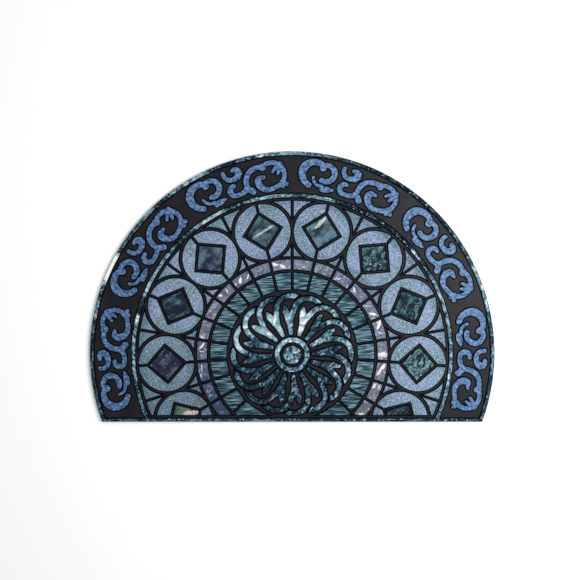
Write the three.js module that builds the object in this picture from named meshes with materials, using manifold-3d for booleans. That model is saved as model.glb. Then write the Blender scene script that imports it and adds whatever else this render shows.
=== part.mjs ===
// Half round doormat: one flat rubber moulding with a straight edge in front and a round edge behind.
// A thin base carries raised pads, all of one height, with grooves between them. From the outside in, the
// pads are a rim, a border of scrolls, a ring line, circles with set squares and their corner pieces, two
// rings of bricks and a rosette of sixteen curling petals round a hub.
// Millimetres, +Z up. The origin is on the floor under the middle of the mat, and the straight edge faces -Y.

import * as THREE from 'three';
import { mergeVertices } from 'three/addons/utils/BufferGeometryUtils.js';
import Module from 'manifold-3d';

const wasm = await Module();
wasm.setup();

// Driving sizes of the whole mat
const WIDTH = 914.4;            // 36 in, the diameter of the round edge
const DEPTH = 609.6;            // 24 in, from the straight edge to the top of the round edge
const BASE_THICK = 5.5;         // rubber under the grooves
const THICK = 8;                // over the pads
const SEAT = 1;                 // how far a pad's own solid reaches down into the base, so that they fuse
const CHORD_ERROR = 0.75;       // how far a straight step may leave its circle
const STROKE_ERROR = 1.2;       // the same for the strokes of scrolls and petals
const CAP_CORNER = 40;          // degrees off its heading of the two corners that round a stroke's end
const MERGE_WITHIN = 1e-4;      // corners of one solid this close are the same corner

// Every ring is centred on the hub, which lies on the mat's middle line. Plans are drawn from the hub:
// x to the right, y away from the straight edge, angles in degrees clockwise from straight up.
const OUTER_R = WIDTH / 2;
const HUB_TO_EDGE = DEPTH - OUTER_R;
const HUB_Y = HUB_TO_EDGE - DEPTH / 2;

// Rim and ring line
const RIM_WIDE = 8;
const RIM_WIDE_STRAIGHT = 6.6;
const RING_LINE = { outer: 362.7, inner: 355.2 };

// Tiled field, which stops on a line a little above the straight rim
const FIELD_STOP = 15.1;        // from the straight edge to the cut ends of the pads
const SPOKE_STEP = 13.45;       // degrees between the radial grooves
const SPOKE_COUNT = 21;
const GROOVE_WIDE = 6.8;
const CIRCLES = { radius: 285, step: 2 * SPOKE_STEP, count: 10, size: 62.5, groove: 8.8 };
const SQUARE_HALF_DIAGONAL = 37.2;
const FRAME_HALF_DIAGONAL = 47.6;      // of the square hole in a circle, in which the square stands
const CORNERS = { outer: 347, inner: 222.9 };
const SMALL_BRICKS = { outer: 215.2, inner: 193.2 };
const LARGE_BRICKS = { outer: 185.2, inner: 148.6 };

// Rosette
const PETAL_COUNT = 16;
const FIRST_ROOT_ANGLE = -5.2;
const HUB_R = 20.8;
const HUB_RING = { outer: 39.4, inner: 28.5 };
const TONGUE_CENTRE = { radius: 101, angle: 26 };     // a petal's long tip is an arc round this point
const TONGUE_R = 32.8;
const TONGUE_HALF = 6;
const TONGUE_END = 66;          // degrees clockwise from straight up, seen from that point
const TONGUE_TURN = 129;
const PETAL_GROOVE = 5.5;

// Border of scrolls
const MOTIF_COUNT = 6;
const MOTIF_STEP = 36.6;
const FIRST_MOTIF_ANGLE = -90.9;
const BAND_R = 406;             // the border's middle line, on which a motif's x is measured

// Scrolls and petals are drawn as with a pen. A stroke starts at a point, in a heading in degrees turned left
// from x, with half its width there. Each run goes on for a length, or round an arc of a radius by a turn,
// left when positive, and ends at its own half width. In a motif x runs clockwise along the border's middle
// line and y outwards.
const MOTIF = [
  // the opening C, the hook that answers it and the knob where they join
  { x: -93.5, y: -22.5, heading: 160, half: 6.4, runs: [
    { radius: 27.4, turn: -100, half: 9.2 }, { radius: 27.4, turn: -104, half: 5.6 }] },
  { x: -70, y: 24, heading: 36, half: 5, runs: [
    { radius: 18.6, turn: -120, half: 6.8 }, { radius: 18.6, turn: -122, half: 6 }] },
  { x: -68, y: 25, heading: -80, half: 7.2, runs: [{ length: 7, half: 7.4 }] },
  // the small leaf under them, on its bent stem
  { x: -86, y: -4, heading: -88, half: 3.6, runs: [
    { radius: 18, turn: 82, half: 4 }, { length: 6, half: 4 }] },
  { x: -64, y: -28, heading: 6, half: 6, runs: [{ length: 13, half: 7.4 }, { length: 15, half: 2.8 }] },
  // the bud, a cup with a curled right side
  { x: -22.5, y: 30, heading: -108, half: 4.6, runs: [
    { radius: 15.4, turn: 80, half: 5.4 }, { radius: 15.4, turn: 42, half: 6 }, { length: 6, half: 6.8 },
    { radius: 9.6, turn: 100, half: 8 }, { radius: 8, turn: 95, half: 4.6 }] },
  // the small hook that runs on into the long stem, the foot at their meeting and the knob at its top
  { x: -7.5, y: -4.8, heading: 165, half: 4.6, runs: [
    { radius: 11.2, turn: 95, half: 6.8 }, { radius: 11.2, turn: 98, half: 5.4 }, { length: 6, half: 5.4 },
    { radius: 34, turn: 35, half: 5.8 }, { radius: 10, turn: 55, half: 6.2 }, { length: 5, half: 6.2 },
    { radius: 32, turn: -50, half: 6 }, { radius: 32, turn: -50, half: 5.6 }] },
  { x: 17, y: -17, heading: -40, half: 6.8, runs: [{ length: 19, half: 7.6 }] },
  { x: 60, y: 24.5, heading: -70, half: 6.6, runs: [{ length: 6.5, half: 7.2 }] },
  // the leafy end: over the top, down the right side, back along the bottom and into the inner curl
  { x: 62, y: 22.5, heading: 38, half: 5.4, runs: [
    { radius: 28.5, turn: -90, half: 5.2 }, { radius: 28.5, turn: -72, half: 5.8 },
    { radius: 20, turn: -26, half: 5.6 }, { radius: 70, turn: -20, half: 5.4 },
    { radius: 24, turn: -80, half: 8.2 }, { radius: 9.5, turn: -76, half: 8 },
    { radius: 9.5, turn: -26, half: 5.6 }, { length: 8, half: 3.8 }] },
  // its two fingers and the two short lobes of its tail
  { x: 100, y: 24, heading: -150, half: 6, runs: [{ radius: 60, turn: 24, half: 3.2 }] },
  { x: 102, y: 18, heading: -130, half: 6, runs: [{ radius: 50, turn: 22, half: 3.2 }] },
  { x: 101, y: -15, heading: -30, half: 5.4, runs: [{ length: 14, half: 4.8 }] },
  { x: 101, y: -15, heading: -80, half: 5.4, runs: [{ length: 12, half: 5 }] },
];

// A petal's body and leaf tip, where the petal stands straight up from the hub.
const LEAF = { x: -0.5, y: 68, heading: 99, half: 4.6, runs: [
  { length: 31, half: 7.6 }, { length: 11, half: 3.8 }] };

// The runs from the end of its tongue back down to its root, after the arc round the tongue's centre.
const TONGUE_TO_ROOT = [
  { length: 15, half: 6.4 }, { radius: 60, turn: 27, half: 6.6 }, { length: 17, half: 4.6 }];

const radians = THREE.MathUtils.degToRad;
const fromHub = (radius, angle) =>
  new THREE.Vector2(radius * Math.sin(radians(angle)), radius * Math.cos(radians(angle)));

// Turns a plan clockwise round the hub.
const turned = (point, angle) => point.clone().rotateAround(new THREE.Vector2(), -radians(angle));

// Steps in a full circle, always a multiple of four, so that it reaches its full width and depth.
function steps(radius) {
  const half = Math.acos(1 - CHORD_ERROR / radius);
  return 4 * Math.ceil(Math.PI / half / 4);
}

function solid(geometry) {
  geometry.deleteAttribute('normal');
  geometry.deleteAttribute('uv');
  const merged = mergeVertices(geometry, MERGE_WITHIN);
  return new wasm.Manifold(new wasm.Mesh({
    numProp: 3,
    vertProperties: new Float32Array(merged.attributes.position.array),
    triVerts: new Uint32Array(merged.index.array),
  }));
}

// An upright block of the outline, from inside the base to the top of the pads unless told otherwise.
function block(points, bottom = BASE_THICK - SEAT, top = THICK) {
  const shape = new THREE.Shape(points);
  const geometry = new THREE.ExtrudeGeometry(shape, { depth: top - bottom, bevelEnabled: false });
  return solid(geometry.translate(0, 0, bottom));
}

// Cutters reach past the pads above and below.
const cutter = (points) => block(points, BASE_THICK - 2 * SEAT, THICK + SEAT);

function circle(radius, centre = new THREE.Vector2()) {
  const count = steps(radius);
  return Array.from({ length: count }, (_, i) => fromHub(radius, (360 * i) / count).add(centre));
}

const ring = ({ outer, inner }) => block(circle(outer)).subtract(cutter(circle(inner)));

const square = (centre, halfDiagonal, angle) =>
  [0, 90, 180, 270].map((corner) => fromHub(halfDiagonal, corner + angle).add(centre));

// All that lies further from the straight edge than stop.
function beyond(stop, top = THICK + SEAT) {
  const near = stop - HUB_TO_EDGE;
  const far = 2 * OUTER_R;
  const corners = [[-far, near], [far, near], [far, far], [-far, far]];
  return block(corners.map(([x, y]) => new THREE.Vector2(x, y)), 0, top);
}

const union = (solids) => wasm.Manifold.union(solids);

// The stations along a stroke: where the pen is, which way it heads and half the width there.
function stations({ x, y, heading, half, runs }) {
  const made = [{ point: new THREE.Vector2(x, y), angle: radians(heading), half }];
  for (const run of runs) {
    const from = made.at(-1);
    const sweep = radians(run.turn ?? 0);
    const count = sweep ? Math.ceil(Math.abs(sweep) / 2 / Math.acos(1 - STROKE_ERROR / run.radius)) : 1;
    for (let i = 1; i <= count; i += 1) {
      const share = i / count;
      const bend = (share * sweep) / 2;
      const away = sweep ? 2 * run.radius * Math.sin(Math.abs(bend)) : run.length;
      const step = new THREE.Vector2(away, 0).rotateAround(new THREE.Vector2(), from.angle + bend);
      made.push({
        point: step.add(from.point),
        angle: from.angle + 2 * bend,
        half: THREE.MathUtils.lerp(from.half, run.half, share),
      });
    }
  }
  return made;
}

// The outline of a stroke: up its left side, round its end, back down its right side and round its start.
function strokeOutline(stroke) {
  const along = stations(stroke);
  const beside = ({ point, angle, half }, side) =>
    new THREE.Vector2(half, 0).rotateAround(new THREE.Vector2(), angle + radians(side)).add(point);
  const [first, last] = [along[0], along.at(-1)];
  return [
    ...along.map((station) => beside(station, 90)),
    beside(last, CAP_CORNER), beside(last, -CAP_CORNER),
    ...along.toReversed().map((station) => beside(station, -90)),
    beside(first, 180 + CAP_CORNER), beside(first, 180 - CAP_CORNER),
  ];
}

const strokes = (table, place) => union(table.map((row) => block(strokeOutline(row).map(place))));

function rim() {
  const within = cutter(circle(OUTER_R - RIM_WIDE)).intersect(beyond(RIM_WIDE_STRAIGHT));
  return block(circle(OUTER_R)).intersect(beyond(0)).subtract(within);
}

const ringLine = () => ring(RING_LINE).intersect(beyond(RIM_WIDE_STRAIGHT / 2));

function border() {
  const motifs = Array.from({ length: MOTIF_COUNT }, (_, i) => {
    const middle = FIRST_MOTIF_ANGLE + i * MOTIF_STEP;
    return strokes(MOTIF, (p) => fromHub(BAND_R + p.y, middle + THREE.MathUtils.radToDeg(p.x / BAND_R)));
  });
  return union(motifs);
}

function tiledField() {
  const circles = Array.from({ length: CIRCLES.count }, (_, i) => {
    const angle = (i - (CIRCLES.count - 1) / 2) * CIRCLES.step;
    return { angle, centre: fromHub(CIRCLES.radius, angle) };
  });
  const spokes = Array.from({ length: SPOKE_COUNT }, (_, i) => {
    const angle = (i - (SPOKE_COUNT - 1) / 2) * SPOKE_STEP;
    const side = GROOVE_WIDE / 2;
    const near = LARGE_BRICKS.inner - GROOVE_WIDE;
    const far = RING_LINE.inner;
    const bar = [[-side, near], [side, near], [side, far], [-side, far]];
    return cutter(bar.map(([x, y]) => turned(new THREE.Vector2(x, y), angle)));
  });
  const roundGrooves = circles.map(({ centre }) => cutter(circle(CIRCLES.size + CIRCLES.groove, centre)));
  const rounds = circles.map(({ centre }) => block(circle(CIRCLES.size, centre)));
  const frames = circles.map(({ centre, angle }) => cutter(square(centre, FRAME_HALF_DIAGONAL, angle)));
  const squares = circles.map(({ centre, angle }) => block(square(centre, SQUARE_HALF_DIAGONAL, angle)));
  const corners = ring(CORNERS).subtract(union(roundGrooves));
  return union([ring(LARGE_BRICKS), ring(SMALL_BRICKS), corners, ...rounds])
    .subtract(union([...spokes, ...frames]))
    .add(union(squares))
    .intersect(beyond(FIELD_STOP));
}

function rosette() {
  const step = 360 / PETAL_COUNT;
  const centre = fromHub(TONGUE_CENTRE.radius, TONGUE_CENTRE.angle);
  const tip = fromHub(TONGUE_R, TONGUE_END).add(centre);
  const tongue = {
    x: tip.x, y: tip.y, heading: 180 - TONGUE_END, half: TONGUE_HALF,
    runs: [{ radius: TONGUE_R, turn: TONGUE_TURN, half: TONGUE_HALF }, ...TONGUE_TO_ROOT],
  };
  const nextGroove = circle(TONGUE_R + TONGUE_HALF + PETAL_GROOVE, turned(centre, step));
  const petals = Array.from({ length: PETAL_COUNT }, (_, i) => {
    const place = (p) => turned(p, FIRST_ROOT_ANGLE + i * step);
    return strokes([LEAF, tongue], place).subtract(cutter(nextGroove.map(place)));
  });
  return union([block(circle(HUB_R)), ring(HUB_RING), ...petals]).intersect(beyond(FIELD_STOP));
}

// The whole moulding, as one named mesh
function mesh(name, whole, material) {
  const { vertProperties, triVerts, numProp } = whole.getMesh();
  const geometry = new THREE.BufferGeometry();
  geometry.setAttribute('position', new THREE.BufferAttribute(new Float32Array(vertProperties), numProp));
  geometry.setIndex(new THREE.BufferAttribute(new Uint32Array(triVerts), 1));
  geometry.computeVertexNormals();
  const made = new THREE.Mesh(geometry, material);
  made.name = name;
  return made;
}

const base = block(circle(OUTER_R), 0, BASE_THICK).intersect(beyond(0, BASE_THICK));
const moulding = union([base, rim(), ringLine(), border(), tiledField(), rosette()]);
const rubber = new THREE.MeshStandardMaterial({ color: 0x2b2a2e, roughness: 0.9, metalness: 0 });

const doormat = new THREE.Group();
const mat = mesh('mat', moulding, rubber);
mat.position.y = HUB_Y;
doormat.add(mat);

export default doormat;
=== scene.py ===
# Half round doormat: the finish of a flat rubber moulding whose raised pads carry a short printed flock.
# Metres, +Z up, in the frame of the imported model: the straight edge faces -Y and the hub lies on x = 0.

import math

import bpy
from mathutils import Color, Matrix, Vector


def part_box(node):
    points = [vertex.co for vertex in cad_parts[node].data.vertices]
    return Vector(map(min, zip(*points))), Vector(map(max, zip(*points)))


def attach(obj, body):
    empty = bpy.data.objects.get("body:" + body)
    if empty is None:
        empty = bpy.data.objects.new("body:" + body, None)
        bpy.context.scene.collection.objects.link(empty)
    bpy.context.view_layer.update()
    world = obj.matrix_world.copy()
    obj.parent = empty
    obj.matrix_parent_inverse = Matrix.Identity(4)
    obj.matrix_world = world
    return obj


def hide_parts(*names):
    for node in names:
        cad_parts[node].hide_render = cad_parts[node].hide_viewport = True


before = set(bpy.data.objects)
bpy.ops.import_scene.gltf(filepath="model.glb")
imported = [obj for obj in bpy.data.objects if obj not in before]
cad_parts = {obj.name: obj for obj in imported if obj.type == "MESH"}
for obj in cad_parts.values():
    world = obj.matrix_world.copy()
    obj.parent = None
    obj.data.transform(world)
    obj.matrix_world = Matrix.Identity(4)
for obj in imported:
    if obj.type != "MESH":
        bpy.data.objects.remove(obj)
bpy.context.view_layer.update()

# Base
# A thin slab of charcoal recycled rubber, pressed in one mould with all that stands on it. Its top is the
# ground that shows between the pads, and its crumb gives the whole mat a fine, matt grain.

MM = 0.001
mat_low, mat_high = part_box("mat")
OUTER_R = (mat_high.x - mat_low.x) / 2
HUB = Vector((0, mat_high.y - OUTER_R, 0))
STRAIGHT_EDGE = mat_low.y
BASE_THICK = 5.5 * MM
BASE_EDGE = 0.6 * MM          # how far the slab's bottom edge is rounded
CHORD_ERROR = 0.05 * MM       # how far a straight step may leave its circle
GRAIN_DEEP = 0.2 * MM         # the relief of the rubber's crumb, and of the flock
GROUND_TONES = [(0.35, "040306"), (0.5, "0d0b10"), (0.65, "201d28")]


def only(piece):
    """Selects the piece alone and makes it the active one."""
    bpy.ops.object.select_all(action="DESELECT")
    piece.select_set(True)
    bpy.context.view_layer.objects.active = piece


def settle(name):
    """Names the new piece and moves its place into its mesh."""
    piece = bpy.context.object
    piece.name = piece.data.name = name
    only(piece)
    bpy.ops.object.transform_apply(location=True, rotation=True, scale=True)
    return piece


def edit(piece, chosen=None):
    """Opens the piece for editing with the faces selected that chosen picks, or with all of them."""
    only(piece)
    bpy.ops.object.mode_set(mode="EDIT")
    bpy.ops.mesh.select_mode(type="FACE")
    bpy.ops.mesh.select_all(action="DESELECT" if chosen else "SELECT")
    if chosen:
        bpy.ops.object.mode_set(mode="OBJECT")
        for face in piece.data.polygons:
            face.select = chosen(face)
        bpy.ops.object.mode_set(mode="EDIT")


def done():
    """Closes the piece that is open for editing."""
    bpy.ops.object.mode_set(mode="OBJECT")


def disc(name, radius, bottom, top, centre=HUB):
    """A round block. Its corners are a multiple of four, so that it has its full width and depth."""
    corners = 4 * math.ceil(math.pi / math.acos(1 - CHORD_ERROR / radius) / 4)
    bpy.ops.mesh.primitive_cylinder_add(
        vertices=corners, radius=radius, depth=top - bottom,
        location=(centre.x, centre.y, (top + bottom) / 2))
    return settle(name)


class Signal:
    """A node's output in a material. Arithmetic on it adds Math nodes."""

    def __init__(self, socket):
        self.socket = socket

    def node(self, kind, sockets, output=0, stops=(), **settings):
        """Adds a node with its settings and a ramp's stops. Signals given for its sockets are linked to them,
        and plain values are set on them."""
        made = self.socket.id_data.nodes.new("ShaderNode" + kind)
        for name, value in settings.items():
            setattr(made, name, value)
        for _ in stops[2:]:      # a new ramp has two
            made.color_ramp.elements.new(0.5)
        for i, (position, _) in enumerate(stops):
            made.color_ramp.elements[i].position = position
        for i, (_, colour) in enumerate(stops):
            made.color_ramp.elements[i].color = colour
        for key, value in sockets.items():
            if isinstance(value, Signal):
                made.id_data.links.new(value.socket, made.inputs[key])
            else:
                made.inputs[key].default_value = value
        return Signal(made.outputs[output])

    def math(self, operation, *values):
        return self.node("Math", dict(enumerate([self, *values])), operation=operation)

    def __add__(self, other):
        return self.math("ADD", other)

    def __sub__(self, other):
        return self.math("SUBTRACT", other)

    def __mul__(self, other):
        return self.math("MULTIPLY", other)

    def __rsub__(self, other):
        return self * -1 + other

    __radd__ = __add__
    __rmul__ = __mul__


def tint(code):
    """A colour for a socket, from its six-digit code."""
    return (*Color([int(code[i:i + 2], 16) / 255 for i in (0, 2, 4)]).from_srgb_to_scene_linear(), 1)


def noise(place, wide, deep, detail=2, turn=0, shift=0, warp=0, flat=True):
    """Soft noise round 0.5, in patches about as wide and deep as given, turned as a whole and warped."""
    scaled = place.node(
        "Mapping", {"Vector": place, "Location": (shift, shift, 0), "Rotation": (0, 0, turn),
                    "Scale": (wide, deep, deep)}, vector_type="TEXTURE")
    return scaled.node("TexNoise", {"Vector": scaled, "Scale": 1, "Detail": detail, "Distortion": warp},
                       noise_dimensions="2D" if flat else "3D")


def ramp(value, stops, interpolation="LINEAR"):
    """Colours by a value. Each stop is the value and its six-digit code, or a tone from 0 to 1."""
    stops = [(at, tint(colour) if isinstance(colour, str) else (colour, colour, colour, 1))
             for at, colour in stops]
    made = value.node("ValToRGB", {0: value}, stops=stops)
    made.socket.node.color_ramp.interpolation = interpolation
    return made


def new_finish(name, roughness, specular):
    """A new material, its shader, and where a point of the piece is."""
    material = bpy.data.materials.new(name)
    material.use_nodes = True
    shader = material.node_tree.nodes["Principled BSDF"]
    shader.inputs["Roughness"].default_value = roughness
    shader.inputs["Specular IOR Level"].default_value = specular
    place = Signal(material.node_tree.nodes.new("ShaderNodeTexCoord").outputs["Object"])
    return material, shader, place


def paint(shader, colour, height, deep):
    """Gives the shader its colour, and a relief as deep as given."""
    height.socket.id_data.links.new(colour.socket, shader.inputs["Base Color"])
    bump = height.node("Bump", {"Height": height, "Distance": deep})
    height.socket.id_data.links.new(bump.socket, shader.inputs["Normal"])


base = disc("base", OUTER_R, 0, BASE_THICK)
edit(base)
bpy.ops.mesh.bisect(plane_co=(0, STRAIGHT_EDGE, 0), plane_no=(0, 1, 0), clear_inner=True, use_fill=True)
done()
edit(base, lambda face: face.normal.z < -0.9)
bpy.ops.mesh.bevel(offset=BASE_EDGE, segments=2, affect="EDGES", clamp_overlap=False)
done()

ground_rubber, shader, place = new_finish("ground_rubber", 0.4, 0.2)
crumb = noise(place, 1.4 * MM, 1.4 * MM, 3, flat=False)
cloud = noise(place, 30 * MM, 30 * MM, 3)
paint(shader, ramp(crumb * 0.7 + cloud * 0.3, GROUND_TONES), crumb, GRAIN_DEEP)
base.data.materials.clear()
base.data.materials.append(ground_rubber)
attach(base, "root")
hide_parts("mat")

# Rim and ring line
# A raised band round the whole mat, and a second one inside the border that runs down into it. Like all
# the pads they have leaning walls of bare rubber, a rounded edge and a flat top that carries the print. The
# walls and the low foot round each pad are painted near-black, darker than the ground, as painted shade that
# outlines the pad, and the rounded edge is darkened as painted shade of the relief.

THICK = mat_high.z
PAD_ROOT = BASE_THICK - 0.4 * MM      # a pad starts inside the base
# The steps of a wall from its foot up: how far it has come in, and its height
WALL = [(0, BASE_THICK), (1.1 * MM, 5.65 * MM), (2.2 * MM, 7.1 * MM), (2.7 * MM, 7.7 * MM),
        (3.1 * MM, 7.9 * MM), (3.8 * MM, THICK)]
OUTER_WALL = [(0, BASE_THICK), (0, 7.1 * MM), (0.25 * MM, 7.7 * MM), (0.6 * MM, 7.9 * MM), (1.2 * MM, THICK)]
SPREAD = 2.7 * MM             # from the print's edge out to the foot of the wall
PRINT_LOW = 7.6 * MM          # the print lies above this height
RIM_WIDE = 8 * MM
RIM_WIDE_STRAIGHT = 6.6 * MM
RING_LINE = (362.7 * MM, 355.2 * MM)
CUTTER_REACH = 2 * MM         # how far cutters stick out above and below
SLIVER = 0.01 * MM            # edges shorter than this are closed up after each cut
SMOOTH_UNDER = math.radians(35)
# The rounded edge of each pad is darkened as painted shade, from where its normal leans this far to where it
# is full.
EDGE_SHADE_LEAN = (0.9995, 0.985)   # the normal's height where the edge's tint sets in, and where it is full
WALL_GRAIN_DEEP = 0.15 * MM
WALL_TONES_WITH_SHADE = [(0.3, "02040a"), (0.7, "070a12")]


def rise(piece, centre, half, wall=WALL, widen=False, across=(1, 1)):
    """Draws a blank up by the wall's steps. A pad narrows on its way, and a cutter widens."""
    edit(piece, lambda face: face.normal.z > 0.9)
    steps = [*wall, (wall[-1][0], THICK + CUTTER_REACH)] if widen else wall
    for (start, low), (end, high) in zip(steps, steps[1:]):
        factor = (half + end) / (half + start) if widen else (half - end) / (half - start)
        bpy.ops.mesh.extrude_region_move(TRANSFORM_OT_translate={"value": (0, 0, high - low)})
        bpy.ops.transform.resize(
            value=(factor if across[0] else 1, factor if across[1] else 1, 1), center_override=centre)
    done()
    for corner in piece.data.vertices:      # so that pads and cutters meet at the very same heights
        corner.co.z = round(corner.co.z, 6)
    return piece


def slab(name, wide, deep, bottom, centre, turn=0):
    """A rectangular block up to the top of the base."""
    bpy.ops.mesh.primitive_cube_add(
        size=1, location=(centre.x, centre.y, (bottom + BASE_THICK) / 2), rotation=(0, 0, turn))
    bpy.context.object.scale = (wide, deep, BASE_THICK - bottom)
    return settle(name)


def round_pad(name, radius, centre=HUB):
    """A round pad whose print has the radius."""
    foot = radius + SPREAD
    return rise(disc(name, foot, PAD_ROOT, BASE_THICK, centre), centre, foot)


def round_cutter(radius, centre=HUB):
    """Clears a round place, for which the print around it leaves the radius."""
    foot = radius - SPREAD
    return rise(disc("cutter", foot, PAD_ROOT - CUTTER_REACH, BASE_THICK, centre), centre, foot, widen=True)


def half_plane(edge, facing, wall=WALL, spread=SPREAD):
    """Clears all on one side of a line along x: nearer to the viewer when facing is -1, else beyond it."""
    deep = 3 * OUTER_R
    foot = Vector((0, edge + facing * (deep / 2 + spread), 0))
    return rise(slab("cutter", deep, deep, PAD_ROOT - CUTTER_REACH, foot), foot, deep / 2, wall, True, (0, 1))


def combine(piece, operation, *tools):
    """Cuts the tools from the piece or joins them to it, and clears them away."""
    for tool in tools:
        only(piece)
        bpy.ops.object.modifier_add(type="BOOLEAN")
        change = piece.modifiers[-1]
        change.operation = operation
        change.solver = "MANIFOLD"
        change.object = tool
        bpy.ops.object.modifier_apply(modifier=change.name)
        bpy.data.objects.remove(tool)
        if operation == "DIFFERENCE":
            edit(piece)
            bpy.ops.mesh.remove_doubles(threshold=SLIVER)
            bpy.ops.mesh.dissolve_degenerate(threshold=SLIVER)
            done()
    return piece


def ring(name, outer, inner):
    return combine(round_pad(name, outer), "DIFFERENCE", round_cutter(inner))


def fade(value, low, high):
    """Runs smoothly from 0 at low to 1 at high."""
    return value.node("MapRange", {"Value": value, "From Min": low, "From Max": high},
                      interpolation_type="SMOOTHSTEP")


def blend(factor, first, second):
    """The first colour where the factor is 0, and the second where it is 1. Each is a signal or a code."""
    first, second = [tint(colour) if isinstance(colour, str) else colour for colour in (first, second)]
    return factor.node("Mix", {0: factor, 6: first, 7: second}, output=2, data_type="RGBA")


def around(place):
    """How far round the hub a point is, clockwise from 0 straight down to 1, and how far from it."""
    offset = place.node("VectorMath", {0: place, 1: HUB}, operation="SUBTRACT")
    across = offset.node("SeparateXYZ", {0: offset})
    up = Signal(across.socket.node.outputs["Y"])
    far = offset.node("VectorMath", {0: offset}, output=1, operation="LENGTH")
    return across.math("ARCTAN2", up) * (0.5 / math.pi) + 0.5, far


def by_angle(turned, stops):
    """Tones by the angle clockwise from straight up, in degrees. A ramp holds 0 to 1, so they are scaled."""
    tones = [tone for _, tone in stops]
    low, span = min(tones), max(tones) - min(tones)
    return ramp(turned, [(angle / 360 + 0.5, (tone - low) / span) for angle, tone in stops]) * span + low


def flock(place):
    """The height of short fibres, and a speckle of their tone from 0 to 1."""
    fibres = noise(place, 0.5 * MM, 0.5 * MM, 2, flat=False)
    return fibres, fade(noise(place, 1.3 * MM, 1.3 * MM, 2), 0.3, 0.7)


def paint_print(shader, colour, fibres, edge_shade_tint="16232e", share=0.3):
    """Paints the flock, which turns to the tint by the share on the pad's rounded edge: painted shade of the
    relief, darker where the edge leans away.
    """
    normal = colour.node("NewGeometry", {}, output=3)
    lean = Signal(normal.node("SeparateXYZ", {0: normal}).socket.node.outputs["Z"])
    # Painted shade: the rounded edge turns to the dark tint.
    edge = fade(lean, *EDGE_SHADE_LEAN) * share
    paint(shader, blend(edge, colour, edge_shade_tint), fibres, GRAIN_DEEP)


def finish_pad(piece, top):
    """Gives the walls bare rubber, painted near-black as painted shade round the pad, prints the top, and
    smooths what is round.
    """
    piece.data.materials.clear()
    piece.data.materials.append(wall_rubber_and_shade)
    piece.data.materials.append(top)
    for face in piece.data.polygons:
        face.material_index = int(face.normal.z > 0.8 and face.center.z > PRINT_LOW)
    only(piece)
    bpy.ops.object.shade_smooth_by_angle(angle=SMOOTH_UNDER)
    bpy.ops.object.modifier_add(type="WEIGHTED_NORMAL")
    piece.modifiers[-1].keep_sharp = True
    bpy.ops.object.modifier_apply(modifier=piece.modifiers[-1].name)


# The walls' bare rubber and the low foot round each pad, painted near-black and darker than the ground:
# painted shade that outlines each pad.
wall_rubber_and_shade, shader, place = new_finish("wall_rubber_and_shade", 0.8, 0)
crumb = noise(place, 1 * MM, 1 * MM, 3, flat=False)
paint(shader, ramp(crumb, WALL_TONES_WITH_SHADE), crumb, WALL_GRAIN_DEEP)

rim = rise(disc("rim", OUTER_R, BASE_THICK - CUTTER_REACH, BASE_THICK), HUB, OUTER_R, OUTER_WALL)
combine(rim, "DIFFERENCE", half_plane(STRAIGHT_EDGE, -1, OUTER_WALL, 0))
within = round_cutter(OUTER_R - RIM_WIDE)
combine(within, "INTERSECT", half_plane(STRAIGHT_EDGE + RIM_WIDE_STRAIGHT, 1))
combine(rim, "DIFFERENCE", within)
ring_line = ring("ring_line", *RING_LINE)
combine(ring_line, "DIFFERENCE", half_plane(STRAIGHT_EDGE + RIM_WIDE_STRAIGHT / 2, -1))
combine(rim, "UNION", ring_line)
edit(rim)
bpy.ops.mesh.bisect(plane_co=(0, 0, BASE_THICK), plane_no=(0, 0, 1), clear_inner=True, use_fill=True)
done()

MARBLE = [(0.02, "0a131d"), (0.28, "1b2f3d"), (0.48, "3a5866"), (0.68, "7495a4"), (0.86, "a3bcc8"),
          (0.96, "d6e0e2"), (1, "eef0ec")]
MOTTLE = dict(wide=12 * MM, deep=6 * MM, detail=3, warp=0.8)
RIM_TO_LINE = (376 * MM, 370 * MM)      # how far from the hub the rim's tones give way to the line's
ROUND_TO_STRAIGHT = (STRAIGHT_EDGE + 9 * MM, STRAIGHT_EDGE + 7 * MM)      # and both to the straight edge's

marble_lines, shader, place = new_finish("marble_lines", 0.9, 0.1)
turned, far = around(place)
rim_tone = by_angle(turned, [
    (-108, 0.28), (-84, 0.2), (-80, 0.25), (-78, 0.75), (-77, 0.1), (-75.2, 0.9), (-74, 0.15), (-69.3, 0.18),
    (-68.6, 1.25), (-61, 1.25), (-60, 0.25), (-50, 0.5), (-44.5, 0.55), (-43, 0.1), (-39, 0.12), (-36, 0.55),
    (-25, 0.68), (-23.5, 0.12), (-17, 0.15), (-11, 0.3), (-10, 0.65), (1, 0.6), (12, 0.38), (17, 0.25),
    (22, 0.15), (50, 0.18), (61, 0.4), (63, 0.62), (76, 0.62), (79, 0.3), (90, 0.45), (108, 0.3)])
line_tone = by_angle(turned, [
    (-113, 0.3), (-105, 0.55), (-103, 0.1), (-100.5, 0.12), (-99.5, 0.6), (-88.5, 0.6), (-84, 0.7),
    (-80, 0.45), (-77, 1), (-76, 0.95), (-75, 0.15), (-70.5, 0.2), (-66, 0.72), (-48, 0.5), (-46, 0.15),
    (-41, 0.2), (-37, 0.65), (-26, 0.75), (-24, 0.22), (-17.5, 0.3), (-15, 0.6), (-1, 0.62), (1, 0.25),
    (8, 0.6), (15, 0.56), (17, 0.08), (47, 0.08), (49.5, 0.52), (54, 0.4), (57, 0.1), (63, 0.62),
    (104, 0.55)])
forward = Signal(place.node("SeparateXYZ", {0: place}).socket.node.outputs["Y"])
straight = fade(forward, *ROUND_TO_STRAIGHT)
tone = blend(fade(far, *RIM_TO_LINE), rim_tone, line_tone)
tone = blend(straight, tone, noise(place, 45 * MM, 45 * MM, 1, shift=3) * 0.72)
round_band = turned.node("CombineXYZ", {0: turned * (2 * math.pi * OUTER_R), 1: far})
mottle = blend(straight, noise(round_band, **MOTTLE), noise(place, **MOTTLE))
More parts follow.
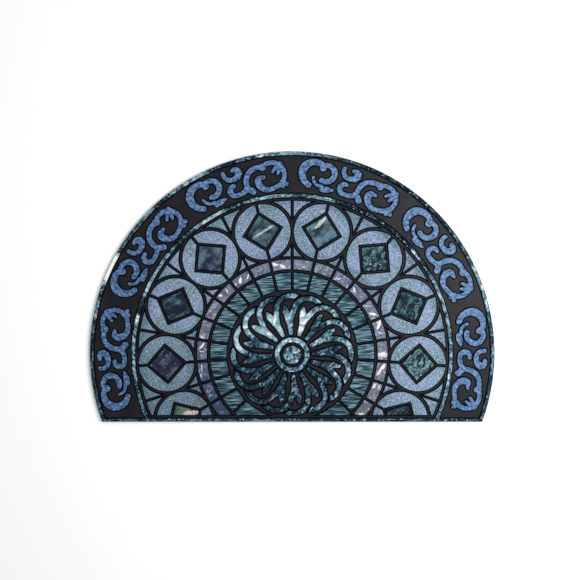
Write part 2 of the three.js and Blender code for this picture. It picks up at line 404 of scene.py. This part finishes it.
flecks = fade(noise(place, 6 * MM, 6 * MM, 2, shift=4), 0.58, 0.68) * fade(tone, 0.5, 0.1)
fibres, speckle = flock(place)
tone = tone + (mottle - 0.5) * 1.6 + flecks * 0.5 + (speckle - 0.5) * 0.1
paint_print(shader, ramp(tone, MARBLE), fibres)
finish_pad(rim, marble_lines)
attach(rim, "root")

# Circles
# Ten round pads stand in a ring, moulded with the base. A radial groove parts each into halves, and a
# square hole is left in its middle, in which a square pad stands on its corner. Their flock is printed as a
# blue-grey heather.

FIELD_STOP = STRAIGHT_EDGE + 15.1 * MM      # where the pads inside the ring line stop
SPOKE_STEP = math.radians(13.45)
SPOKE_COUNT = 21
SPOKE_FROM = 142 * MM
GROOVE_WIDE = 6.8 * MM
CIRCLE_COUNT = 10
CIRCLES_AT = 285 * MM
CIRCLE_R = 62.5 * MM
HOLE_HALF_SIDE = 47.6 * MM / math.sqrt(2)
CORNER_SHADE_FROM = (40 * MM, 58 * MM)     # how far from the circles' middles the corners' own shade sets in


def from_hub(radius, angle):
    """A point in the plan, with the angle clockwise from straight up."""
    return HUB + radius * Vector((math.sin(angle), math.cos(angle), 0))


def spread_out(count, step):
    """Equal angles on both sides of straight up."""
    return [(i - (count - 1) / 2) * step for i in range(count)]


def turned_copies(piece, name, angles):
    """Copies of a piece at the top of the mat, turned clockwise round the hub, as one piece in its place."""
    copies = []
    for angle in angles:
        only(piece)
        bpy.ops.object.duplicate()
        edit(bpy.context.object)
        bpy.ops.transform.rotate(value=angle, orient_axis="Z", center_override=HUB)
        done()
        copies.append(bpy.context.object)
    bpy.data.objects.remove(piece)
    for copy in copies:
        copy.select_set(True)
    bpy.ops.object.join()
    return settle(name)


def spokes():
    """Clears the radial grooves."""
    half = GROOVE_WIDE / 2 - SPREAD
    long = RING_LINE[1] - SPOKE_FROM
    centre = from_hub(SPOKE_FROM + long / 2, 0)
    spoke = slab("cutter", 2 * half, long, PAD_ROOT - CUTTER_REACH, centre)
    rise(spoke, centre, half, widen=True, across=(1, 0))
    return turned_copies(spoke, "cutter", spread_out(SPOKE_COUNT, SPOKE_STEP))


def weave(place, long, thick):
    """Crossing threads, from about -0.5 to 0.5."""
    return noise(place, long, thick) + noise(place, thick, long, shift=5) - 1


def mark(place, x, y, long, wide, turn):
    """A soft oval mark: 1 in its middle and 0 outside its half length and width."""
    scaled = place.node(
        "Mapping", {"Vector": place, "Location": (x, y, 0), "Rotation": (0, 0, math.radians(turn)),
                    "Scale": (long, wide, 1)}, vector_type="TEXTURE")
    return fade(scaled.node("VectorMath", {0: scaled}, output=1, operation="LENGTH"), 0.95, 0.45)


circle_angles = spread_out(CIRCLE_COUNT, 2 * SPOKE_STEP)
top_circle = from_hub(CIRCLES_AT, 0)
circles = turned_copies(round_pad("circle", CIRCLE_R, top_circle), "circles", circle_angles)
foot = HOLE_HALF_SIDE - SPREAD
square_hole = slab("cutter", 2 * foot, 2 * foot, PAD_ROOT - CUTTER_REACH, top_circle, math.pi / 4)
rise(square_hole, top_circle, foot, widen=True)
combine(circles, "DIFFERENCE", turned_copies(square_hole, "cutter", circle_angles), spokes(),
        half_plane(FIELD_STOP, -1))

heather, shader, place = new_finish("heather", 0.95, 0.1)
turned, far = around(place)
corner_shade = fade((far - CIRCLES_AT).math("ABSOLUTE"), *CORNER_SHADE_FROM) * by_angle(turned, [
    (-110, 0.17), (-75, 0.22), (-50, 0.05), (-20, 0.14), (15, 0.2), (50, 0.28), (80, 0.14), (98, 0),
    (115, 0.1)])
patches = noise(place, 60 * MM, 60 * MM, 2, shift=1)
teal = patches + corner_shade * 0.7 + by_angle(turned, [
    (-125, 0.2), (-88, 0.14), (-72, -0.04), (0, -0.02), (60, 0.05), (120, 0.03)])
tone = blend(fade(teal, 0.38, 0.7), "8394b2", "6b8792")
tone = blend(mark(place, HUB.x - 200 * MM, HUB.y - 112 * MM, 38 * MM, 26 * MM, 20) * 0.75, tone, "74805f")
grains = noise(place, 2.6 * MM, 2.6 * MM, 2, shift=8) - 0.5
fibres, speckle = flock(place)
# The tones by angle are partly the print's own and partly painted shade: the circles on the left, farthest
# from the lamp on the right, are painted darkest.
shade = weave(place, 9 * MM, 2.2 * MM) * 1.2 + grains * 1.9 + (speckle - 0.5) * 0.12 + by_angle(turned, [
    (-121, -0.4), (-94, -0.22), (-67, -0.1), (-40, -0.1), (-13, -0.16), (13, -0.14), (40, -0.07), (67, -0.03),
    (94, -0.06), (121, -0.16)])
shade = shade - corner_shade
tone = blend(shade * 1.4, tone, "b4c4d4")
# The circles' rounded edges are darkened to this tint as painted shade.
paint_print(shader, blend(shade * -1.4, tone, "43546a"), fibres, edge_shade_tint="38475a", share=0.5)
finish_pad(circles, heather)
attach(circles, "root")

# Squares
# The ten square pads in the holes of the circles, moulded with the base. Their flock is printed to look
# like dark, polished stone, and three of them have pale streaks.

SQUARE_HALF_SIDE = 37.2 * MM / math.sqrt(2)
SQUARES = [   # clockwise from the lower left: ground, patches, how far they spread, how finely they break up
    ("33403f", "576a62", 0.46, 0.3), ("1f2336", "4c566b", 0.44, 0.6), ("1a2030", "435d69", 0.41, 0.3),
    ("22263a", "4f6474", 0.5, 0.3), ("1d2733", "4c626c", 0.5, 0.25), ("222f3b", "587480", 0.52, 0.25),
    ("171f2b", "4f737b", 0.46, 0.9), ("1b212f", "4c7680", 0.43, 0.7), ("1c2733", "658b91", 0.46, 0.9),
    ("161b26", "3a4955", 0.42, 0.5)]
STREAKS = [   # place from the hub, half the length and width, turn, strength and colour
    (-63, 279, 40, 4, 32, 0.7, "ccd6cc"), (64, 298, 26, 6, 46, 0.85, "ccd6cc"),
    (-224, -132, 34, 7, 4, 0.8, "d9c8ca"), (-246, -141, 16, 5, 10, 0.7, "d9c8ca")]


def by_piece(turned, step, values):
    """A colour or tone for each of the pieces that are spread out by the step."""
    first = 0.5 - len(values) / 2 * step / (2 * math.pi)
    return ramp(turned, [(first + i * step / (2 * math.pi), value) for i, value in enumerate(values)],
                "CONSTANT")


def ragged(place, wide, reach):
    """The same place, astray by up to the reach in patches as wide as given."""
    astray = Signal(noise(place, wide, wide, 3).socket.node.outputs["Color"])
    astray = astray.node("VectorMath", {0: astray, 1: (0.5, 0.5, 0.5)}, operation="SUBTRACT")
    return place.node("VectorMath", {0: astray, 1: (2 * reach, 2 * reach, 0), 2: place},
                      operation="MULTIPLY_ADD")


foot = SQUARE_HALF_SIDE + SPREAD
square = rise(slab("square", 2 * foot, 2 * foot, PAD_ROOT, top_circle, math.pi / 4), top_circle, foot)
set_squares = turned_copies(square, "squares", circle_angles)
combine(set_squares, "DIFFERENCE", half_plane(FIELD_STOP, -1))

stone, shader, place = new_finish("stone", 0.9, 0.1)
turned, _ = around(place)
ground, patch, spread, broken = [by_piece(turned, 2 * SPOKE_STEP, column) for column in zip(*SQUARES)]
broad = noise(place, 30 * MM, 20 * MM, 5, turn=0.6, shift=2)
fine = noise(place, 13 * MM, 8 * MM, 5, turn=0.9, warp=1)
fibres, speckle = flock(place)
flakes = blend(broken, broad, fine)
colour = blend(fade(flakes + spread + (speckle - 0.5) * 0.06, 0.88, 1.12), ground, patch)
bits = fade(noise(place, 5 * MM, 4 * MM, 3, shift=7), 0.58, 0.68) * fade(flakes, 0.5, 0.6) * broken
colour = blend(bits * 0.7, colour, "a6c6c0")
strayed = ragged(place, 8 * MM, 3 * MM)
for x, y, long, wide, turn, strength, pale in STREAKS:
    streak = mark(strayed, HUB.x + x * MM, HUB.y + y * MM, long * MM, wide * MM, turn) * fade(fine, 0.25, 0.6)
    colour = blend(streak * strength, colour, pale)
paint_print(shader, colour, fibres)
finish_pad(set_squares, stone)
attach(set_squares, "root")

# Corner pieces
# Small three-sided pads that fill the corners between the circles, on the ring line's side and on the
# bricks' side. They are moulded with the base and printed with the circles' heather.

CORNERS = (347 * MM, 222.9 * MM)
CIRCLE_GROOVE = 8.8 * MM

corners = ring("corners", *CORNERS)
for every_other in (circle_angles[::2], circle_angles[1::2]):      # so that no two cutters overlap
    cutter = round_cutter(CIRCLE_R + CIRCLE_GROOVE, top_circle)
    combine(corners, "DIFFERENCE", turned_copies(cutter, "cutter", every_other))
combine(corners, "DIFFERENCE", spokes(), half_plane(FIELD_STOP, -1))

finish_pad(corners, heather)
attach(corners, "root")

# Small bricks
# The outer ring of four-sided pads inside the circles, parted by the same radial grooves. Their print is a
# plain lavender marble with a few sharp, pale veins.

SMALL_BRICKS = (215.2 * MM, 193.2 * MM)

small_bricks = ring("small_bricks", *SMALL_BRICKS)
combine(small_bricks, "DIFFERENCE", spokes(), half_plane(FIELD_STOP, -1))

PLAIN = [   # by the angle clockwise from straight up
    (-130, "2b3a58"), (-108, "303f60"), (-98, "424f6c"), (-86, "485369"), (-60, "666a7e"), (-25, "525f79"),
    (0, "687284"), (20, "5b6a7c"), (45, "5b6880"), (80, "687084"), (110, "686d79"), (135, "565b60")]
VEINS = [   # angle, distance from the hub, half the length and width, lean and strength
    (-102.7, 211, 7, 2.2, -28, 0.7), (-98.5, 206.3, 12, 2, -8, 0.7), (-84.3, 205, 13, 2.7, -40, 1),
    (-88, 205, 10, 1.6, 85, 0.6), (-79, 207, 8, 4.1, 80, 0.7), (-50.3, 210, 6, 3.2, -40, 1),
    (-45.5, 206, 8, 3, 70, 0.55), (-35, 205, 11, 4.1, 50, 1), (-39, 203, 7, 2.7, 60, 0.7),
    (-29.3, 203, 9, 2.7, 50, 1), (-10.5, 207, 9, 4.6, -15, 0.9), (-6, 201, 11, 4.3, -30, 0.85),
    (7, 200, 7, 1.8, 0, 0.7), (30.5, 199.5, 11, 2.2, 35, 0.8), (43.5, 203, 8, 2.7, -40, 1),
    (57.5, 205, 10, 2, 55, 0.6), (63, 204, 13, 2.7, 45, 1), (71, 207, 17, 4.1, -33, 1),
    (76, 205, 8, 2.7, 65, 0.7), (90, 204, 8, 16.2, 0, 0.75), (99.5, 204, 22, 4.3, -25, 1),
    (111, 198.5, 10, 3.5, -10, 0.8), (131, 206, 9, 3.2, -50, 0.6)]

lavender, shader, place = new_finish("lavender", 0.9, 0.1)
turned, far = around(place)
plain = ramp(turned, [(angle / 360 + 0.5, code) for angle, code in PLAIN])
clouds = noise(place, 12 * MM, 9 * MM, 4, turn=0.8, shift=9, warp=0.8)
colour = blend(fade(clouds, 0.5, 0.36) * 0.5, plain, "343e58")
colour = blend(fade(clouds, 0.57, 0.74) * 0.45, colour, "a3a6be")
brick_middle = sum(SMALL_BRICKS) / 2
round_band = turned.node("CombineXYZ", {0: (turned - 0.5) * (2 * math.pi * brick_middle), 1: far})
strayed = ragged(round_band, 7 * MM, 3.5 * MM)
veins = None
for angle, distance, long, wide, lean, strength in VEINS:
    along = math.radians(angle) * brick_middle
    vein = mark(strayed, along, distance * MM, long * MM, wide * MM, lean) * strength
    veins = veins.math("MAXIMUM", vein) if veins else vein
fibres, speckle = flock(place)
cracks = (noise(place, 16 * MM, 11 * MM, 3, turn=0.9, shift=4, warp=1) - 0.5).math("ABSOLUTE")
cracked = by_angle(turned, [
    (-121, 0), (-106, 0.1), (-90, 0.5), (-60, 0.4), (-20, 0.45), (30, 0.35), (60, 0.7), (130, 0.8)])
veins = veins.math("MAXIMUM", fade(cracks, 0.03, 0.008) * fade(clouds, 0.45, 0.6) * cracked)
pale = blend(fade(noise(place, 18 * MM, 18 * MM, 1), 0.4, 0.6), "e2d8e4", "f0eee8")
paint_print(shader, blend(veins * 1.05 + (speckle - 0.5) * 0.08, colour, pale), fibres)
finish_pad(small_bricks, lavender)
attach(small_bricks, "root")

# Large bricks
# The inner ring of four-sided pads, parted by the same grooves. Their print is teal slate, whose thin dark
# lines all run from side to side of the mat.

LARGE_BRICKS = (185.2 * MM, 148.6 * MM)
SLATE_TONES = [(0.32, "13232f"), (0.42, "2d4453"), (0.52, "47636f"), (0.66, "587a86"), (0.85, "86a5ae")]

large_bricks = ring("large_bricks", *LARGE_BRICKS)
combine(large_bricks, "DIFFERENCE", spokes(), half_plane(FIELD_STOP, -1))

slate, shader, place = new_finish("slate", 0.9, 0.1)
turned, _ = around(place)
lines = noise(place, 34 * MM, 2.4 * MM, 3, turn=0.04, shift=6, warp=0.3)
cloud = noise(place, 40 * MM, 30 * MM, 2)
fibres, speckle = flock(place)
tone = lines * 1.8 + (cloud - 0.5) * 0.3 + (speckle - 0.5) * 0.1 - 0.43 + by_angle(turned, [
    (-145, -0.08), (-110, -0.05), (-60, 0.02), (-25, 0), (20, 0.03), (60, -0.02), (90, 0.1), (110, 0.02),
    (145, -0.06)])
paint_print(shader, ramp(tone, SLATE_TONES), fibres)
finish_pad(large_bricks, slate)
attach(large_bricks, "root")

# Scrolls
# Six like motifs of curled stems and leaves in the border, between the rim and the ring line. Each is moulded
# in one, drawn here as with a pen in strokes that run into one another, and its flock is printed as
# cornflower blue denim.

# The pen works in millimetres. A stroke starts at a point, in a heading in degrees turned left from x, with
# half its width there. Each run goes on for a length, or round an arc of a radius by a turn, and ends at its
# own half width. In a motif, x runs clockwise along the border's middle line and y outwards.
BAND_R = 406
MOTIF_COUNT = 6
MOTIF_STEP = math.radians(36.6)
FIRST_MOTIF_ANGLE = math.radians(-90.9)
STROKE_ERROR = 0.06   # how far a straight step may leave its arc
CAP_REACH = 0.85      # how far a stroke's round end stands out, in halves of its width
CAP_STEPS = 6
NARROWEST = 0.2       # half the width that a stroke keeps at its top
DENIM_TONES = [(0.34, "2d4062"), (0.5, "4b678f"), (0.68, "7693b5")]

MOTIF = [
    dict(at=(-93.5, -22.5), heading=160, half=6.4, runs=[(27.4, -100, 9.2), (27.4, -104, 5.6)]),
    dict(at=(-70, 24), heading=36, half=5, runs=[(18.6, -120, 6.8), (18.6, -122, 6)]),
    dict(at=(-68, 25), heading=-80, half=7.2, runs=[(7, 0, 7.4)]),
    dict(at=(-86, -4), heading=-88, half=3.6, runs=[(18, 82, 4), (6, 0, 4)]),
    dict(at=(-64, -28), heading=6, half=6, runs=[(13, 0, 7.4), (15, 0, 2.8)]),
    dict(at=(-22.5, 30), heading=-108, half=4.6, runs=[
        (15.4, 80, 5.4), (15.4, 42, 6), (6, 0, 6.8), (9.6, 100, 8), (8, 95, 4.6)]),
    dict(at=(-7.5, -4.8), heading=165, half=4.6, runs=[
        (11.2, 95, 6.8), (11.2, 98, 5.4), (6, 0, 5.4), (34, 35, 5.8), (10, 55, 6.2), (5, 0, 6.2),
        (32, -50, 6), (32, -50, 5.6)]),
    dict(at=(17, -17), heading=-40, half=6.8, runs=[(19, 0, 7.6)]),
    dict(at=(60, 24.5), heading=-70, half=6.6, runs=[(6.5, 0, 7.2)]),
    dict(at=(62, 22.5), heading=38, half=5.4, runs=[
        (28.5, -90, 5.2), (28.5, -72, 5.8), (20, -26, 5.6), (70, -20, 5.4), (24, -80, 8.2),
        (9.5, -76, 8), (9.5, -26, 5.6), (8, 0, 3.8)]),
    dict(at=(100, 24), heading=-150, half=6, runs=[(60, 24, 3.2)]),
    dict(at=(102, 18), heading=-130, half=6, runs=[(50, 22, 3.2)]),
    dict(at=(101, -15), heading=-30, half=5.4, runs=[(14, 0, 4.8)]),
    dict(at=(101, -15), heading=-80, half=5.4, runs=[(12, 0, 5)]),
]


def ahead(angle):
    return Vector((math.cos(angle), math.sin(angle)))


def pen_way(at, heading, half, runs):
    """Where the pen goes: its point, its heading, half its width, and how far it may reach left and right."""
    free = 10 * half
    way = [(Vector(at), math.radians(heading), half, free, free)]
    for size, turn, end_half in runs:
        point, angle, start_half, *_ = way[-1]
        sweep = math.radians(turn)
        count = math.ceil(abs(sweep) / 2 / math.acos(1 - STROKE_ERROR / size)) if sweep else 1
        for i in range(1, count + 1):
            bend = sweep * i / count / 2
            away = 2 * size * math.sin(abs(bend)) if sweep else size
            way.append((point + away * ahead(angle + bend), angle + 2 * bend,
                        start_half + (end_half - start_half) * i / count,
                        size if turn > 0 else free, size if turn < 0 else free))
    return way


def pen_outline(way, drawn_in):
    """A stroke's outline as the pen leaves it when it is narrower all round."""
    def beside(station, side):
        point, angle, half, left, right = station
        reach = max(min(half - drawn_in, left if side > 0 else right), NARROWEST)
        return point + ahead(angle + side * math.pi / 2) * reach

    def cap(station, back):
        point, angle, half, *_ = station
        reach = max(half - drawn_in, NARROWEST)
        along, aside = ahead(angle) * reach * CAP_REACH, ahead(angle + math.pi / 2) * reach
        leans = [math.pi * (i / CAP_STEPS - 0.5) for i in range(1, CAP_STEPS)]
        return [point + back * (along * math.cos(lean) - aside * math.sin(lean)) for lean in leans]

    return [*(beside(station, 1) for station in way), *cap(way[-1], 1),
            *(beside(station, -1) for station in reversed(way)), *cap(way[0], -1)]


def pen_pad(name, stroke, carry, wall=WALL):
    """Draws up a round blank, one unit a step, and pulls it onto the stroke's outline at each step."""
    steps = [(0, PAD_ROOT), *wall]
    way = pen_way(**stroke)
    outlines = [pen_outline(way, (inwards - SPREAD) / MM) for inwards, height in steps]
    count = len(outlines[0])
    bpy.ops.mesh.primitive_circle_add(vertices=count, fill_type="NGON")
    pad = settle(name)
    edit(pad)
    for _ in wall:
        bpy.ops.mesh.extrude_region_move(TRANSFORM_OT_translate={"value": (0, 0, 1)})
    done()
    for corner in pad.data.vertices:
        level = round(corner.co.z)
        station = round(math.atan2(corner.co.x, corner.co.y) / (2 * math.pi) * count) % count
        point = carry(outlines[level][station])
        corner.co = (point.x, point.y, steps[level][1])
    edit(pad)
    bpy.ops.mesh.remove_doubles(threshold=SLIVER)
    bpy.ops.mesh.normals_make_consistent(inside=False)
    done()
    return pad


def along_band(point):
    """Carries a motif's point onto the border, straight above the hub."""
    return from_hub((BAND_R + point.y) * MM, point.x / BAND_R)


motif, *others = [pen_pad("stroke", stroke, along_band) for stroke in MOTIF]
combine(motif, "UNION", *others)
scrolls = turned_copies(motif, "scrolls", [FIRST_MOTIF_ANGLE + i * MOTIF_STEP for i in range(MOTIF_COUNT)])

denim, shader, place = new_finish("denim", 0.95, 0.1)
turned, _ = around(place)
mottle = noise(place, 8 * MM, 6 * MM, 4, shift=4) * 0.7 + weave(place, 7 * MM, 1.8 * MM) * 0.4 + 0.15
fibres, speckle = flock(place)
# The tones by angle are partly painted light: the scrolls on the right, towards the lamp, are painted lighter
# and those on the left darker.
tone = mottle + (speckle - 0.5) * 0.12 + by_angle(turned, [(-90, -0.03), (0, 0.02), (60, 0.07), (110, 0.03)])
# The scrolls' rounded edges are darkened to this tint as painted shade.
paint_print(shader, ramp(tone, DENIM_TONES), fibres, edge_shade_tint="1d2d4c", share=0.6)
finish_pad(scrolls, denim)
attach(scrolls, "root")

# Petals
# Sixteen petals curl one way round the hub. Each has a leaf tip and a long tongue that bends over the next
# petal. They are moulded with the base, with crowned tops, and printed with the rim's blue-green marble.

PETAL_COUNT = 16
PETAL_STEP = 2 * math.pi / PETAL_COUNT
FIRST_ROOT_ANGLE = math.radians(-5.2)
TONGUE_CENTRE = from_hub(101 * MM, math.radians(26)) - HUB
TONGUE_R = 32.8
TONGUE_HALF = 6
TONGUE_END = 66
PETAL_GROOVE = 5.5
CROWN_DROP = 0.22 * MM        # how much lower a crowned pad's edge is than its top
CROWNED_WALL = [*WALL[:2], *((inwards, height - CROWN_DROP) for inwards, height in WALL[2:]),
                (4.7 * MM, 7.91 * MM), (5.7 * MM, THICK)]
LEAF_TO_TONGUE = (96 * MM, 118 * MM)    # where the leaves' tones give way to the tongues'
PETALS_TO_RING = (46 * MM, 40 * MM)     # and where the petals' give way to those of the ring round the hub
RING_TO_HUB = (26 * MM, 24 * MM)
HUB_TONE = 0.55
LEAF = dict(at=(-0.5, 68), heading=99, half=4.6, runs=[(31, 0, 7.6), (11, 0, 3.8)])
TONGUE = dict(
    at=(TONGUE_CENTRE / MM).xy + TONGUE_R * ahead(math.radians(90 - TONGUE_END)), heading=180 - TONGUE_END,
    half=TONGUE_HALF, runs=[(TONGUE_R, 129, TONGUE_HALF), (15, 0, 6.4), (60, 27, 6.6), (17, 0, 4.6)])


def upright(point):
    """Carries a petal's point onto the mat, unturned."""
    return HUB + Vector((point.x, point.y, 0)) * MM


petal = pen_pad("petal", LEAF, upright, CROWNED_WALL)
next_groove = from_hub(TONGUE_CENTRE.length, math.atan2(TONGUE_CENTRE.x, TONGUE_CENTRE.y) + PETAL_STEP)
combine(petal, "UNION", pen_pad("tongue", TONGUE, upright, CROWNED_WALL))
combine(petal, "DIFFERENCE", round_cutter((TONGUE_R + TONGUE_HALF + PETAL_GROOVE) * MM, next_groove))
petals = turned_copies(petal, "petals", [FIRST_ROOT_ANGLE + i * PETAL_STEP for i in range(PETAL_COUNT)])
combine(petals, "DIFFERENCE", half_plane(FIELD_STOP, -1))

rosette_marble, shader, place = new_finish("rosette_marble", 0.9, 0.1)
turned, far = around(place)
leaf_tone = by_angle(turned, [
    (-180, 0.38), (-150, 0.24), (-120, 0.24), (-100, 0.33), (-85, 0.42), (-70, 0.55), (-55, 0.6), (-30, 0.9),
    (-12, 0.7), (2, 0.66), (14, 1), (24, 0.85), (33, 0.35), (48, 0.4), (60, 0.6), (70, 0.55), (82, 0.3),
    (115, 0.25), (150, 0.34), (180, 0.4)])
tongue_tone = by_angle(turned, [
    (-180, 0.3), (-150, 0.2), (-115, 0.2), (-100, 0.42), (-88, 0.7), (-70, 0.85), (-45, 0.75), (-28, 0.5),
    (-8, 0.3), (0, 0.72), (12, 0.4), (24, 0.72), (38, 0.5), (50, 0.6), (66, 0.5), (80, 0.75), (92, 0.35),
    (104, 0.85), (125, 0.45), (160, 0.5), (180, 0.32)])
ring_tone = by_angle(turned, [
    (-180, 0.6), (-140, 0.5), (-90, 0.8), (-30, 0.75), (20, 0.9), (50, 0.68), (90, 0.6), (130, 0.48),
    (180, 0.6)])
tone = blend(fade(far, *LEAF_TO_TONGUE), leaf_tone, tongue_tone)
tone = blend(fade(far, *PETALS_TO_RING), tone, ring_tone)
tone = blend(fade(far, *RING_TO_HUB), tone, (HUB_TONE, HUB_TONE, HUB_TONE, 1))
patches = noise(place, 22 * MM, 22 * MM, 5, shift=2, warp=1.2) - 0.5
veins = noise(place, 8 * MM, 4.5 * MM, 5, turn=0.9, warp=0.8) - 0.5
blots = fade(noise(place, 8 * MM, 8 * MM, 4, shift=11), 0.54, 0.62)
fibres, speckle = flock(place)
roughly = by_angle(turned, [(-180, 1.5), (-110, 1.4), (-85, 0.6), (20, 0.65), (50, 1.6), (180, 1.5)])
tone = tone * 0.84 + 0.09 + patches * 1.1 + veins * roughly - blots * fade(tone, 0.8, 0.4) * 0.25
paint_print(shader, ramp(tone, MARBLE), fibres, share=0.5)
finish_pad(petals, rosette_marble)
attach(petals, "root")

# Hub
# A round boss with a ring round it, in the middle of the petals. Both are moulded with the base, and the
# print of the petals runs on over them.

HUB_R = 20.8 * MM
HUB_RING = (39.4 * MM, 28.5 * MM)

boss = rise(disc("boss", HUB_R + SPREAD, PAD_ROOT, BASE_THICK), HUB, HUB_R + SPREAD, CROWNED_WALL)
hub = combine(boss, "UNION", ring("hub_ring", *HUB_RING))
hub.name = "hub"

finish_pad(hub, rosette_marble)
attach(hub, "root")

# The mat as one sheet
# The moulding lies loose and flat, and every pad is moulded onto the base.

# Floor, light and camera
# The mat lies on a white floor in a white room, lit by one broad lamp on its right. The camera looks almost
# straight down, from three degrees on the round edge's side.

FLOOR_WIDE = 30
FLOOR_DROP = 0.2 * MM         # how far under the mat the floor lies, so that their faces don't meet
FLOOR_WHITE = (0.98, 0.98, 0.98, 1)
STUDIO_WHITE = (1, 1, 1, 1)
STUDIO_STRENGTH = 0.65
KEY_PLACE = Vector((1.1, 0.25, 1.6))
KEY_POWER = 32
KEY_WIDE = 1.2
CAMERA_FAR = 2.5
TILT = math.radians(3)
AIM = Vector((-5 * MM, -5.9 * MM, THICK))
LENS = 68.9

bpy.ops.mesh.primitive_plane_add(size=FLOOR_WIDE, location=(0, 0, -FLOOR_DROP))
floor = settle("floor")
floor_paint = bpy.data.materials.new("floor")
floor_paint.use_nodes = True
floor_paint.node_tree.nodes["Principled BSDF"].inputs["Base Color"].default_value = FLOOR_WHITE
floor.data.materials.append(floor_paint)

bpy.context.scene.view_settings.view_transform = "Standard"
world = bpy.data.worlds.new("studio")
world.use_nodes = True
world.node_tree.nodes["Background"].inputs["Color"].default_value = STUDIO_WHITE
world.node_tree.nodes["Background"].inputs["Strength"].default_value = STUDIO_STRENGTH
bpy.context.scene.world = world
bpy.ops.object.light_add(type="AREA", location=KEY_PLACE)
key = bpy.context.object
key.data.energy = KEY_POWER
key.data.size = KEY_WIDE
key.rotation_euler = (-KEY_PLACE).to_track_quat("-Z", "Y").to_euler()

bpy.ops.object.camera_add(
    location=AIM + CAMERA_FAR * Vector((0, math.sin(TILT), math.cos(TILT))), rotation=(-TILT, 0, 0))
camera = bpy.context.object
camera.data.lens = LENS
bpy.context.scene.camera = camera
